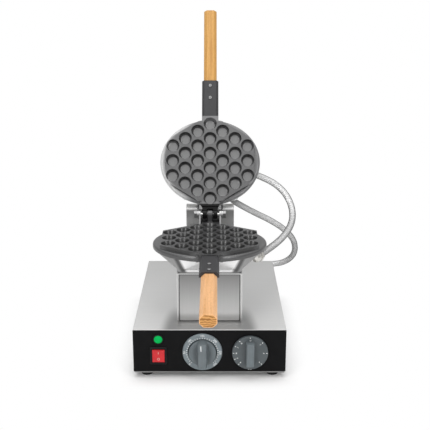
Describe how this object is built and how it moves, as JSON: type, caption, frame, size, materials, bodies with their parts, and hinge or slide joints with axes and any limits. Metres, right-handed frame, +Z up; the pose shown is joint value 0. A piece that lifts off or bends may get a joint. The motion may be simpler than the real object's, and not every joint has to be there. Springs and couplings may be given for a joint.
{
  "type": "bubble waffle maker",
  "caption": "Countertop bubble waffle maker: stainless base with dials, pedestal, fixed lower pan and hinged lid pan with round cavities, wooden handles and braided hoses.",
  "frame": {"origin": "on the worktop under the middle of the base box", "axes": "+X to the right seen from the front, +Y to the back, +Z up; the lower handle points to -Y"},
  "size_m": [0.3049, 0.6339, 0.5742],
  "materials": {
    "stainless_sheet": "brushed",
    "black_fascia": "satin black print",
    "foot_rubber": "matte",
    "fastener_steel": "bright",
    "coated_casting": "dark non-stick coating",
    "polished_steel": "polished",
    "bracket_steel": "bright",
    "handle_bracket_coating": "dark satin",
    "beech_wood": "clear lacquer",
    "element_steel": "dull",
    "green_lens": "clear green",
    "black_plastic": "satin",
    "red_plastic": "gloss",
    "dial_grey": "satin",
    "scale_ring_grey": "satin, white numerals",
    "plated_brass": "nickel plated",
    "hose_braid": "woven braid"
  },
  "bodies": {
    "base": {"base_hose_gland": "plated_brass", "base_housing": "stainless_sheet", "base_nuts": "fastener_steel", "bottom_plate": "stainless_sheet", "control_nuts": "fastener_steel", "foot_screws": "fastener_steel", "front_panel": "black_fascia", "hinge_nuts": "fastener_steel", "hinge_pin": "fastener_steel", "hose_a": "hose_braid", "hose_b": "hose_braid", "lamp_body": "black_plastic", "lamp_lens": "green_lens", "lid_stop": "stainless_sheet", "lid_stop_screws": "fastener_steel", "lower_bracket_screws": "fastener_steel", "lower_cover": "polished_steel", "lower_cover_screws": "fastener_steel", "lower_handle_bracket": "handle_bracket_coating", "lower_handle_grip": "beech_wood", "lower_handle_screws": "fastener_steel", "lower_heater": "element_steel", "lower_heater_clamp": "element_steel", "lower_hinge_bracket": "bracket_steel", "lower_hose_gland": "plated_brass", "lower_pan": "coated_casting", "lower_standoffs": "fastener_steel", "mains_gland": "black_plastic", "pedestal_frame": "stainless_sheet", "pedestal_front_plate": "stainless_sheet", "pedestal_rear_plate": "stainless_sheet", "pedestal_screws": "fastener_steel", "plate_screws": "fastener_steel", "rear_panel": "stainless_sheet", "rubber_feet": "foot_rubber", "sensing_bulb": "element_steel", "switch_housing": "black_plastic", "terminal_block": "black_plastic", "thermostat_body": "black_plastic", "thermostat_scale_ring": "scale_ring_grey", "timer_body": "black_plastic"},
    "lid": {"upper_pan": "coated_casting", "upper_heater": "element_steel", "upper_heater_clamp": "element_steel", "upper_standoffs": "fastener_steel", "upper_cover": "polished_steel", "upper_cover_screws": "fastener_steel", "upper_hinge_bracket": "bracket_steel", "upper_bracket_screws": "fastener_steel", "upper_handle_bracket": "handle_bracket_coating", "upper_handle_grip": "beech_wood", "upper_handle_screws": "fastener_steel", "lid_hose_glands": "plated_brass", "lid_bumper": "foot_rubber"},
    "rocker": {"power_rocker": "red_plastic"},
    "thermostat_control": {"thermostat_knob": "dial_grey", "thermostat_shaft": "fastener_steel"},
    "timer_control": {"timer_knob": "dial_grey", "timer_shaft": "fastener_steel"}
  },
  "joints": [
    {"name": "lid_hinge", "type": "hinge", "parent": "base", "child": "lid", "pos_m": [0, 0.0295, 0.225], "axis": [1, 0, 0], "range_deg": [0, 121.7], "deforming": ["hose_a", "hose_b"]},
    {"name": "thermostat_turn", "type": "hinge", "parent": "base", "child": "thermostat_control", "pos_m": [-0.0117, -0.17, 0.0474], "axis": [0, 1, 0], "range_deg": [-135, 135]},
    {"name": "timer_turn", "type": "hinge", "parent": "base", "child": "timer_control", "pos_m": [0.0662, -0.17, 0.0474], "axis": [0, 1, 0], "range_deg": [0, 300]},
    {"name": "rocker_tilt", "type": "hinge", "parent": "base", "child": "rocker", "pos_m": [-0.0836, -0.1604, 0.041], "axis": [-1, 0, 0], "range_deg": [0, 12]}
  ]
}
